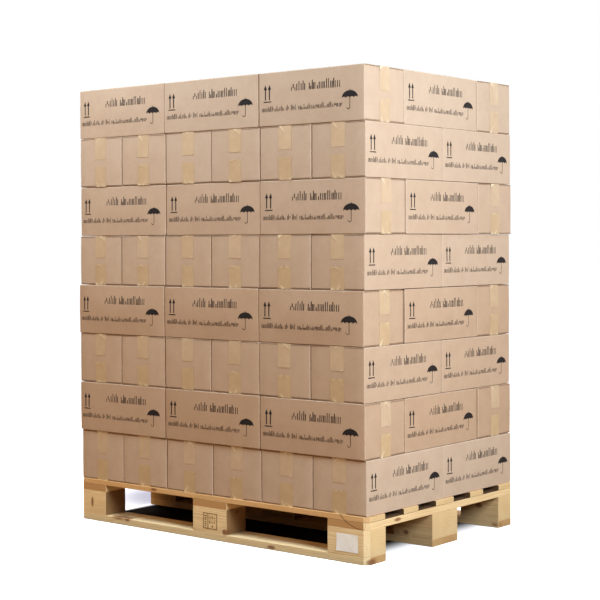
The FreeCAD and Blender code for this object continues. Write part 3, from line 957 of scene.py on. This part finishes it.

# %% [markdown]
# ## Tape and ink
#
# Packing tape is a stretched polypropylene film with tan glue. The film is smooth, so folds in it
# glint, and fine wrinkles along its length break the reflection up. The glue makes it yellower than
# the board, and it is a little uneven where it did not take. Where a fold stands off the board, the
# brown behind it is lost and the film looks pale, and that pale colour is also painted on as a glint.
# The attribute `lifted` says where.

# %% Tape material
film, tree, shader = new_material("polypropylene_tape_tan")
where = add_node(tree, "TexCoord").outputs["Object"]
batch = add_node(tree, "Attribute", {"attribute_name": "batch"}).outputs["Fac"]
glue = add_node(tree, "TexNoise", inputs={"Vector": where, "Scale": 1 / (30 * MM),
                                          "Detail": 3, "Roughness": 0.6})
glue_shade = add_node(tree, "ValToRGB", inputs={"Fac": glue.outputs["Fac"]},
                      stops=[(0.35, colour("#C3A386")), (0.65, colour("#C9AB8D"))])
# the batch value is a random tone on the top strips and painted shade on the strips under the cartons
film_tone = add_node(tree, "ValToRGB", inputs={"Fac": batch},
                     stops=[(0.0, colour("#F8F3D8")), (1.0, colour("#FFFFFA"))])
film_colour = add_node(tree, "Mix", TIMES,
                       {0: 1.0, 6: glue_shade.outputs["Color"], 7: film_tone.outputs["Color"]})
lifted = add_node(tree, "Attribute", {"attribute_name": "lifted"}).outputs["Fac"]
# lifted film is paler, as the brown behind it is lost, and this pale colour is also a painted glint on the
# folds
pale_and_glint = add_node(tree, "MapRange", inputs={0: lifted, 1: 0.35, 2: 1.0, 3: 0.0, 4: 0.75})
folded_film = add_node(tree, "Mix", MIX,
                       {0: pale_and_glint.outputs[0], 6: film_colour.outputs[2], 7: colour("#F0DEB6")})
tree.links.new(folded_film.outputs[2], shader.inputs["Base Color"])
wrinkle = add_node(tree, "TexNoise", inputs={"Vector": where, "Scale": 1 / (9 * MM),
                                             "Detail": 2, "Roughness": 0.5})
film_bump = add_node(tree, "Bump", inputs={"Strength": 0.4, "Distance": 0.2 * MM,
                                           "Height": wrinkle.outputs["Fac"]})
tree.links.new(film_bump.outputs[0], shader.inputs["Normal"])
shader.inputs["Roughness"].default_value = 0.42
shader.inputs["IOR"].default_value = 1.46
for piece in tape_layers.values():
    piece.data.materials.append(film)
print("tape on", len(tape_layers), "layers")

# %% [markdown]
# The print is water-based ink, rolled on by a rubber plate. It sinks into the board, so it is as
# matt as the board, and the plate leaves it slightly uneven. Ink, and further on steel, paper and
# the stamp, drift a little between two shades, so one function makes the start of all four.

# %% Ink material
def cloudy(name, across, detail, roughness, stops):
    """A material whose colour drifts between shades, in clouds that are that many metres across."""
    material, tree, shader = new_material(name)
    where = add_node(tree, "TexCoord").outputs["Object"]
    clouds = add_node(tree, "TexNoise", inputs={"Vector": where, "Scale": 1 / across,
                                                "Detail": detail, "Roughness": roughness})
    shade = add_node(tree, "ValToRGB", inputs={"Fac": clouds.outputs["Fac"]}, stops=stops)
    tree.links.new(shade.outputs["Color"], shader.inputs["Base Color"])
    return material, tree, shader, clouds.outputs["Fac"]


ink_black, tree, shader, clouds = cloudy("flexo_ink_dark_brown", 5 * MM, 3, 0.7,
                                         [(0.3, colour("#17110F")), (0.75, colour("#2E2521"))])
shader.inputs["Roughness"].default_value = 0.78
shader.inputs["Specular IOR Level"].default_value = 0.25
for piece in print_layers.values():
    piece.data.materials.append(ink_black)
print("ink on", len(print_layers), "layers")

# %% [markdown]
# ## Pallet timber
#
# The pallet is nailed from twenty pieces of sawn softwood: five deck boards, three cross boards,
# nine blocks and three bottom boards. Sawn wood has no sharp edge and no true plane, and the four
# upright corners of the pallet are cut off, so that forks and film don't catch on them.
#
# Each piece starts as a cube of its node's box. It is sliced, so that a Displace modifier can make
# its faces a little uneven, its corner is bevelled off, and a second fine bevel breaks all edges.
#
# Wood is a solid pattern: a board is cut out of a trunk. So every vertex also keeps its place in
# the trunk, with the trunk's heart somewhere outside or inside the piece, as the attribute `trunk`.
# The attribute `tone` gives each face its colour, from pale to honey. Above that, it paints shade:
# the faces in the slots between the deck boards have the darkest tone, and the blocks' ends in the left and
# middle columns, and the sides of the inner blocks behind the front row, are painted darker too.

# %% Saw the pallet's pieces
CORNER_CUT = 14 * MM
EDGE_BREAK = 1.3 * MM
SAW_UNEVENNESS = 1.1 * MM
SLICE_ALONG, SLICE_ACROSS = 45 * MM, 26 * MM

uneven = bpy.data.textures.new("saw_unevenness", "CLOUDS")
uneven.noise_scale = 0.07

ALONG_X, ALONG_Y = 0, 1
SIDE, END = 0, 1
COLUMNS = ("left", "middle", "right")

# tones run from 0, pale, to 1, honey; above 1 they are painted shade, darkest at the top value
SHADE_TONE = 2.0
DECK_TONES = (0.7, 0.45, 0.3, 0.5, 0.3)
CROSS_TONES = (0.3, 0.35, 0.25)
BOTTOM_TONES = {"front": -0.15, "middle": 0.5, "back": 0.4}
# block tones above 1 are painted shade: the sides of the inner blocks and the ends in the left and middle
# columns
BLOCK_SIDE_TONES = {"front": (0.2, 0.1, 0.05), "middle": (1.15, 1.15, 0.45), "back": (1.1, 1.1, 0.45)}
BLOCK_END_TONES = (1.6, 1.6, 0.1)


def timber(node, along, side_tone, end_tone, heart, seed):
    """One sawn piece in place of a node. heart is how far off the trunk's heart may lie, in mm."""
    low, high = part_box(node)
    piece = start_box(f"sawn_{node}", low, high)
    edit(piece)
    for axis in range(3):
        side = high[axis] - low[axis]
        bays = max(1, round(side / (SLICE_ALONG if axis == along else SLICE_ACROSS)))
        slice_across(axis, [low[axis] + side * step / bays for step in range(1, bays)])
    if choose("EDGE", lambda edge: all(abs(v.co.x) > HALF_FOOTPRINT[0] - MM
                                       and abs(v.co.y) > HALF_FOOTPRINT[1] - MM for v in edge.verts)):
        bpy.ops.mesh.bevel(offset=CORNER_CUT, segments=1, affect="EDGES")
    done()
    finish_modifier(piece, "DISPLACE", texture=uneven, strength=SAW_UNEVENNESS, mid_level=0.5)
    smooth(piece, 40)
    finish_modifier(piece, "BEVEL", width=EDGE_BREAK, segments=2, limit_method="ANGLE",
                    harden_normals=True)

    draw = random.Random(seed)
    across = 1 - along
    reach, depth = heart
    middle = (low + high) / 2
    heart_across = draw.uniform(-reach, reach) * MM
    heart_up = draw.choice((-1, 1)) * draw.uniform(depth / 2, depth) * MM
    lean = draw.uniform(-0.03, 0.03)
    trunk = piece.data.attributes.new("trunk", "FLOAT_VECTOR", "POINT")
    numbers = []
    for vertex in piece.data.vertices:
        off = vertex.co - middle
        numbers += [vertex.co[along] + 3 * seed, off[across] - heart_across,
                    off.z - heart_up + lean * off[along]]
    trunk.data.foreach_set("vector", numbers)
    tones = piece.data.attributes.new("tone", "FLOAT", "FACE")
    for face, tone in zip(piece.data.polygons, tones.data):
        face.material_index = END if abs(face.normal[along]) > 0.9 else SIDE
        tone.value = end_tone if face.material_index == END else side_tone
        # painted shade: faces in the slots between the deck boards, and the cross boards' tops under them,
        # get the darkest tone
        inside = abs(face.center.y) < HALF_FOOTPRINT[1] - 10 * MM
        in_slot = "top_board" in node and inside and abs(face.normal.y) > 0.9
        if in_slot or along == ALONG_Y and face.normal.z > 0.9:
            tone.value = SHADE_TONE
    return piece


pallet = {}
for number, tone in enumerate(DECK_TONES, start=1):
    node = f"top_board_{number}"
    pallet[node] = timber(node, ALONG_X, tone, 0.12, (25, 90), number)
for number, (column, tone) in enumerate(zip(COLUMNS, CROSS_TONES)):
    node = f"cross_board_{column}"
    pallet[node] = timber(node, ALONG_Y, tone, 0.95, (30, 60), 11 + number)
for row, (side, tone) in enumerate(BOTTOM_TONES.items()):
    node = f"bottom_board_{side}"
    pallet[node] = timber(node, ALONG_X, tone, 0.7, (20, 80), 17 + row)
    for place_in_row, column in enumerate(COLUMNS):
        node = f"block_{side}_{column}"
        pallet[node] = timber(node, ALONG_X, BLOCK_SIDE_TONES[side][place_in_row],
                              BLOCK_END_TONES[place_in_row], (45, 40), 21 + 3 * row + place_in_row)
print(len(pallet), "pieces of timber,", sum(len(o.data.polygons) for o in pallet.values()), "faces")

# %% [markdown]
# ## Sawn pine
#
# Spruce or pine, sawn and air dried. In a trunk, each year adds a pale band that ends in a thin
# darker line. Cut lengthwise, those lines show as streaks and long arches, and cut across they are
# arcs. Knots are where branches grew: dark ovals that the lines bend round.
#
# The distance from the heart, divided by a year's growth, gives the rings. A little noise bends
# them. Each knot is a stretched ball at a place on the pallet, and it pushes the rings aside. One
# dark line, left by a knot that fell out, is the skin of a larger ball.

# %% Pine material
YEAR_RING = 4.2 * MM
RING_WANDER = 16 * MM
KNOT_PUSH = 7 * MM

# x, y and z of a knot's middle, then how far it reaches each way, in millimetres
KNOTS = [
    (-543, -398, 61, 5, 30, 15), (52, -398, 31, 10, 25, 8), (60, -350, 88, 12, 8, 5),
    (-418, -385, 21, 34, 20, 7), (-378, -392, 20, 12, 24, 6), (502, -69, 34, 9, 22, 7),
    (525, 311, 66, 12, 22, 7), (-255, -396, 131, 13, 12, 5), (300, -370, 138, 9, 14, 12),
    (380, 190, 137, 12, 12, 9), (-90, 396, 60, 9, 20, 12), (240, -398, 8, 14, 14, 5),
    (-598, 350, 60, 20, 9, 9), (596, -250, 112, 14, 16, 5), (-320, 398, 130, 12, 12, 6),
    (560, 398, 52, 9, 20, 9), (-596, -30, 52, 16, 12, 8), (120, 396, 10, 15, 15, 6),
    (600, -378, 8, 12, 18, 9), (586, 322, 10, 14, 14, 7), (430, -60, 96, 12, 12, 7),
]

# the dark line's ball, in the same way
DARK_LINE = (600, -400, 160, 105, 6, 60)


def ball(numbers):
    """A ball's middle and reach in metres, from six numbers in millimetres."""
    numbers = [number * MM for number in numbers]
    return numbers[:3], numbers[3:]


def pine(name, ring_contrast, pale, honey, dark, pore_stretch, rough):
    material, tree, shader = new_material(name)
    where = add_node(tree, "TexCoord").outputs["Object"]
    trunk = add_node(tree, "Attribute", {"attribute_name": "trunk"}).outputs["Vector"]
    tone = add_node(tree, "Attribute", {"attribute_name": "tone"}).outputs["Fac"]

    knot = None
    for numbers in KNOTS:
        away = how_far_out(tree, where, *ball(numbers))
        knot = away if knot is None else add_node(tree, "Math", {"operation": "MINIMUM"},
                                                  {0: knot, 1: away}).outputs[0]
    swirl = add_node(tree, "MapRange", SOFT_STEP, {0: knot, 1: 0.6, 2: 3.2, 3: KNOT_PUSH, 4: 0.0})
    off_line = add_node(tree, "Math", {"operation": "SUBTRACT"},
                        {0: how_far_out(tree, where, *ball(DARK_LINE)), 1: 1.0})
    gap = add_node(tree, "Math", {"operation": "ABSOLUTE"}, {0: off_line.outputs[0]})
    line_mask = add_node(tree, "MapRange", SOFT_STEP, {0: gap.outputs[0], 1: 0.01, 2: 0.035, 3: 0.7, 4: 0.0})

    parts = add_node(tree, "SeparateXYZ", inputs={0: trunk})
    flat = add_node(tree, "CombineXYZ", inputs={1: parts.outputs["Y"], 2: parts.outputs["Z"]})
    radius = add_node(tree, "VectorMath", {"operation": "LENGTH"}, {0: flat.outputs[0]})
    long_way = add_node(tree, "VectorMath", {"operation": "MULTIPLY"},
                        {0: trunk, 1: (2.2, 14, 14)})
    wander = add_node(tree, "TexNoise", inputs={"Vector": long_way.outputs[0], "Scale": 1.0,
                                                         "Detail": 3.0})
    bend = add_node(tree, "Math", {"operation": "MULTIPLY_ADD"},
                    {0: wander.outputs["Fac"], 1: RING_WANDER, 2: radius.outputs["Value"]})
    pushed = add_node(tree, "Math", {"operation": "ADD"}, {0: bend.outputs[0], 1: swirl.outputs[0]})
    years = add_node(tree, "Math", {"operation": "DIVIDE"}, {0: pushed.outputs[0], 1: YEAR_RING})
    year = add_node(tree, "Math", {"operation": "FRACT"}, {0: years.outputs[0]})
    ring = add_node(tree, "ValToRGB", inputs={"Fac": year.outputs[0]},
                    stops=[(0.0, (0, 0, 0, 1)), (0.45, (0.12, 0.12, 0.12, 1)), (0.86, (1, 1, 1, 1)),
                           (1.0, (0, 0, 0, 1))])

    fibre_way = add_node(tree, "VectorMath", {"operation": "MULTIPLY"},
                         {0: trunk, 1: pore_stretch})
    fibre = add_node(tree, "TexNoise", inputs={"Vector": fibre_way.outputs[0], "Scale": 1.0,
                                                        "Detail": 3.0, "Roughness": 0.6})
    patch = add_node(tree, "TexNoise", inputs={"Vector": long_way.outputs[0], "Scale": 1 / 0.9,
                                               "Detail": 2})
    tone_sum = add_node(tree, "Math", {"operation": "MULTIPLY_ADD", "use_clamp": True},
                        {0: patch.outputs["Fac"], 1: 0.5, 2: tone})
    tone_less = add_node(tree, "Math", {"operation": "SUBTRACT", "use_clamp": True},
                         {0: tone_sum.outputs[0], 1: 0.22})
    wood = add_node(tree, "Mix", MIX,
                    {0: tone_less.outputs[0], 6: colour(pale), 7: colour(honey)})
    ring_share = add_node(tree, "Math", {"operation": "MULTIPLY"},
                          {0: ring.outputs["Color"], 1: ring_contrast})
    ringed = add_node(tree, "Mix", MIX,
                      {0: ring_share.outputs[0], 6: wood.outputs[2], 7: colour(dark)})
    streak = add_node(tree, "ValToRGB", inputs={"Fac": fibre.outputs["Fac"]},
                      stops=[(0.25, colour("#D9CDBD")), (0.6, colour("#FFFFFF"))])
    streaked = add_node(tree, "Mix", TIMES,
                        {0: 0.55, 6: ringed.outputs[2], 7: streak.outputs["Color"]})
    knot_shade = add_node(tree, "ValToRGB", inputs={"Fac": knot},
                          stops=[(0.0, colour("#8A5228")), (0.6, colour("#7A4420")),
                                 (0.85, colour("#9C6838"))])
    knot_mask = add_node(tree, "MapRange", SOFT_STEP,
                         {0: knot, 1: 0.75, 2: 1.5, 3: 0.85, 4: 0.0})
    knotted = add_node(tree, "Mix", MIX,
                       {0: knot_mask.outputs[0], 6: streaked.outputs[2], 7: knot_shade.outputs["Color"]})
    lined = add_node(tree, "Mix", MIX,
                     {0: line_mask.outputs[0], 6: knotted.outputs[2], 7: colour("#5E3A1C")})
    # painted shade: tones above 1 darken the wood towards a dark brown
    shade_share = add_node(tree, "MapRange", inputs={0: tone, 1: 1.0, 2: SHADE_TONE, 3: 0.0, 4: 0.9})
    with_shade = add_node(tree, "Mix", MIX,
                      {0: shade_share.outputs[0], 6: lined.outputs[2], 7: colour("#46290F")})
    tree.links.new(with_shade.outputs[2], shader.inputs["Base Color"])
    bump = add_node(tree, "Bump", inputs={"Strength": 0.6, "Distance": 0.4 * MM,
                                          "Height": fibre.outputs["Fac"]})
    tree.links.new(bump.outputs[0], shader.inputs["Normal"])
    shader.inputs["Roughness"].default_value = rough
    shader.inputs["IOR"].default_value = 1.5
    return material


pine_side = pine("pine_sawn_side_grain", 0.3, "#FADCA6", "#D79F5C", "#B67C42", (9, 420, 420), 0.72)
pine_end = pine("pine_sawn_end_grain", 0.5, "#EFCC92", "#BD8648", "#935F30", (60, 260, 260), 0.85)
for piece in pallet.values():
    piece.data.materials.append(pine_side)
    piece.data.materials.append(pine_end)
print(len(KNOTS), "knots; a year's ring is", YEAR_RING / MM, "mm wide")

# %% [markdown]
# ## Nails, label and stamp
#
# Flat steel nail heads are driven flush with the boards. One head is made from a cylinder, whose rim
# is rounded and whose face is slightly domed, and copied to every place in the frame's nail node.
#
# A blank paper label is stuck on one corner block. It is a thin sheet with soft, slightly lifted
# corners. The middle block carries a plain frame with ticks, in place of a maker's stamp.

# %% Nail heads
NAIL_RADIUS = 4 * MM
NAIL_THICKNESS = 1 * MM
NAIL_STANDS_OUT = 0.15 * MM

select_only()
bpy.ops.mesh.primitive_cylinder_add(vertices=16, radius=NAIL_RADIUS, depth=NAIL_THICKNESS)
nail_head = bpy.context.object
edit(nail_head)
choose("FACE", lambda face: face.normal.z > 0.9)
bpy.ops.mesh.inset(thickness=0.6 * MM)
bpy.ops.mesh.inset(thickness=1.6 * MM)
bpy.ops.transform.translate(value=(0, 0, 0.12 * MM))
done()
finish_modifier(nail_head, "BEVEL", width=0.2 * MM, segments=1, limit_method="ANGLE",
                angle_limit=math.radians(60))
smooth(nail_head, 50)
deck_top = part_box("top_board_1")[1].z
heads = []
for points in islands("nails"):
    spot = middle_of(points)
    head = copy_of(nail_head, "nail")
    faces_up = spot.z > deck_top / 2
    height = deck_top + NAIL_STANDS_OUT if faces_up else -NAIL_STANDS_OUT
    head.matrix_world = (Matrix.Translation((spot.x, spot.y, height))
                         @ Matrix.Rotation(0 if faces_up else math.pi, 4, "X")
                         @ Matrix.Translation((0, 0, -NAIL_THICKNESS / 2)))
    heads.append(head)
select_only(*heads)
bpy.ops.object.transform_apply(location=True, rotation=True, scale=True)
nail_heads = join("nail_heads", heads)
throw_away(nail_head)

steel, tree, shader, clouds = cloudy("steel_wire_drawn", 3 * MM, 3, 0.6,
                                     [(0.35, colour("#8C8882")), (0.7, colour("#B4B2AE"))])
shader.inputs["Metallic"].default_value = 1.0
steel_rough = add_node(tree, "MapRange", inputs={0: clouds, 1: 0.3, 2: 0.7, 3: 0.3, 4: 0.55})
tree.links.new(steel_rough.outputs[0], shader.inputs["Roughness"])
nail_heads.data.materials.append(steel)
print(len(heads), "nail heads")

# %% Paper label
label_low, label_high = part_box("paper_label")
label_middle, label_size = (label_low + label_high) / 2, label_high - label_low
select_only()
bpy.ops.mesh.primitive_grid_add(x_subdivisions=12, y_subdivisions=8, size=1,
                                rotation=(math.pi / 2, 0, 0), location=label_middle)
label = bpy.context.object
label.name = "blank_label"
bpy.ops.transform.resize(value=(label_size.x, 1, label_size.z))
bpy.ops.object.transform_apply(location=True, rotation=True, scale=True)
LABEL_GAP, CORNER_LIFT, LABEL_RIPPLE = 0.2 * MM, 1.6 * MM, 0.25 * MM
for vertex in label.data.vertices:
    share_x = abs(vertex.co.x - label_middle.x) / label_size.x * 2
    share_z = abs(vertex.co.z - label_middle.z) / label_size.z * 2
    vertex.co.y -= LABEL_GAP + CORNER_LIFT * (share_x * share_z) ** 6
    vertex.co.y -= LABEL_RIPPLE * (1 + noise.noise(vertex.co * 40))
finish_modifier(label, "SOLIDIFY", thickness=0.15 * MM, offset=0)
smooth(label, 50)

paper, tree, shader, clouds = cloudy("paper_label_white", 9 * MM, 4, 0.6,
                                     [(0.3, colour("#FAF2E4")), (0.7, colour("#FFFCF4"))])
where = add_node(tree, "TexCoord").outputs["Object"]
crease = add_node(tree, "TexNoise", inputs={"Vector": where, "Scale": 1 / (12 * MM), "Detail": 2})
paper_bump = add_node(tree, "Bump", inputs={"Strength": 0.4, "Distance": 0.4 * MM,
                                            "Height": crease.outputs["Fac"]})
tree.links.new(paper_bump.outputs[0], shader.inputs["Normal"])
shader.inputs["Roughness"].default_value = 0.6
shader.inputs["IOR"].default_value = 1.5
label.data.materials.append(paper)
print("the label is", round(label_size.x / MM), "mm wide")

# %% Stamp on the middle block
block_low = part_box("block_front_middle")[0]
STAMP_X, STAMP_Z = -38, 34
STAMP_WIDE, STAMP_TALL, STAMP_LINE = 58, 49, 1.8
stamp_parts = []


def stamp_bar(left, foot, wide, tall):
    low = ((STAMP_X + left) * MM, block_low.y - 0.75 * MM, (STAMP_Z + foot) * MM)
    high = ((STAMP_X + left + wide) * MM, block_low.y + 0.3 * MM, (STAMP_Z + foot + tall) * MM)
    stamp_parts.append(start_box("stamp_bar", low, high))


for foot in (0, STAMP_TALL - STAMP_LINE):
    stamp_bar(0, foot, STAMP_WIDE, STAMP_LINE)
for left in (0, 19, STAMP_WIDE - STAMP_LINE):
    stamp_bar(left, 0, STAMP_LINE, STAMP_TALL)
for step in range(6):
    stamp_bar(6, 6 + 6.4 * step, 8 if step % 3 else 5, 2.6)
for row, foot in enumerate((32, 18)):
    for step in range(4):
        stamp_bar(25 + 7 * step, foot, 2, 8 if (step + row) % 3 else 5)
stamp_bar(36, 6, 5, 5)
stamp = join("block_stamp", stamp_parts)

burn, tree, shader, clouds = cloudy("stamp_ink_brown", 4 * MM, 3, 0.7,
                                    [(0.35, colour("#5A4128")), (0.7, colour("#94713F"))])
shader.inputs["Roughness"].default_value = 0.8
stamp.data.materials.append(burn)
print("the stamp has", len(stamp_parts), "bars")

# %% [markdown]
# ## Hand the pieces to the frame
#
# Nothing on the load moves by itself, so every piece rides on the one body, and the frame's nodes
# that the pieces stand in for are hidden.

# %% Ride on the body and hide the replaced nodes
for place, body in zip(places, cartons):
    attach(body, BODY)
    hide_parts(f"layer_{place['layer']}_cartons")
for layer, piece in tape_layers.items():
    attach(piece, BODY)
    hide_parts(f"layer_{layer}_tapes")
for piece in print_layers.values():
    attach(piece, BODY)
for node, piece in pallet.items():
    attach(piece, BODY)
    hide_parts(node)
for piece, node, finish in ((nail_heads, "nails", "nail_steel"), (label, "paper_label", "label_paper")):
    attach(piece, BODY)
    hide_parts(node)
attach(stamp, BODY)
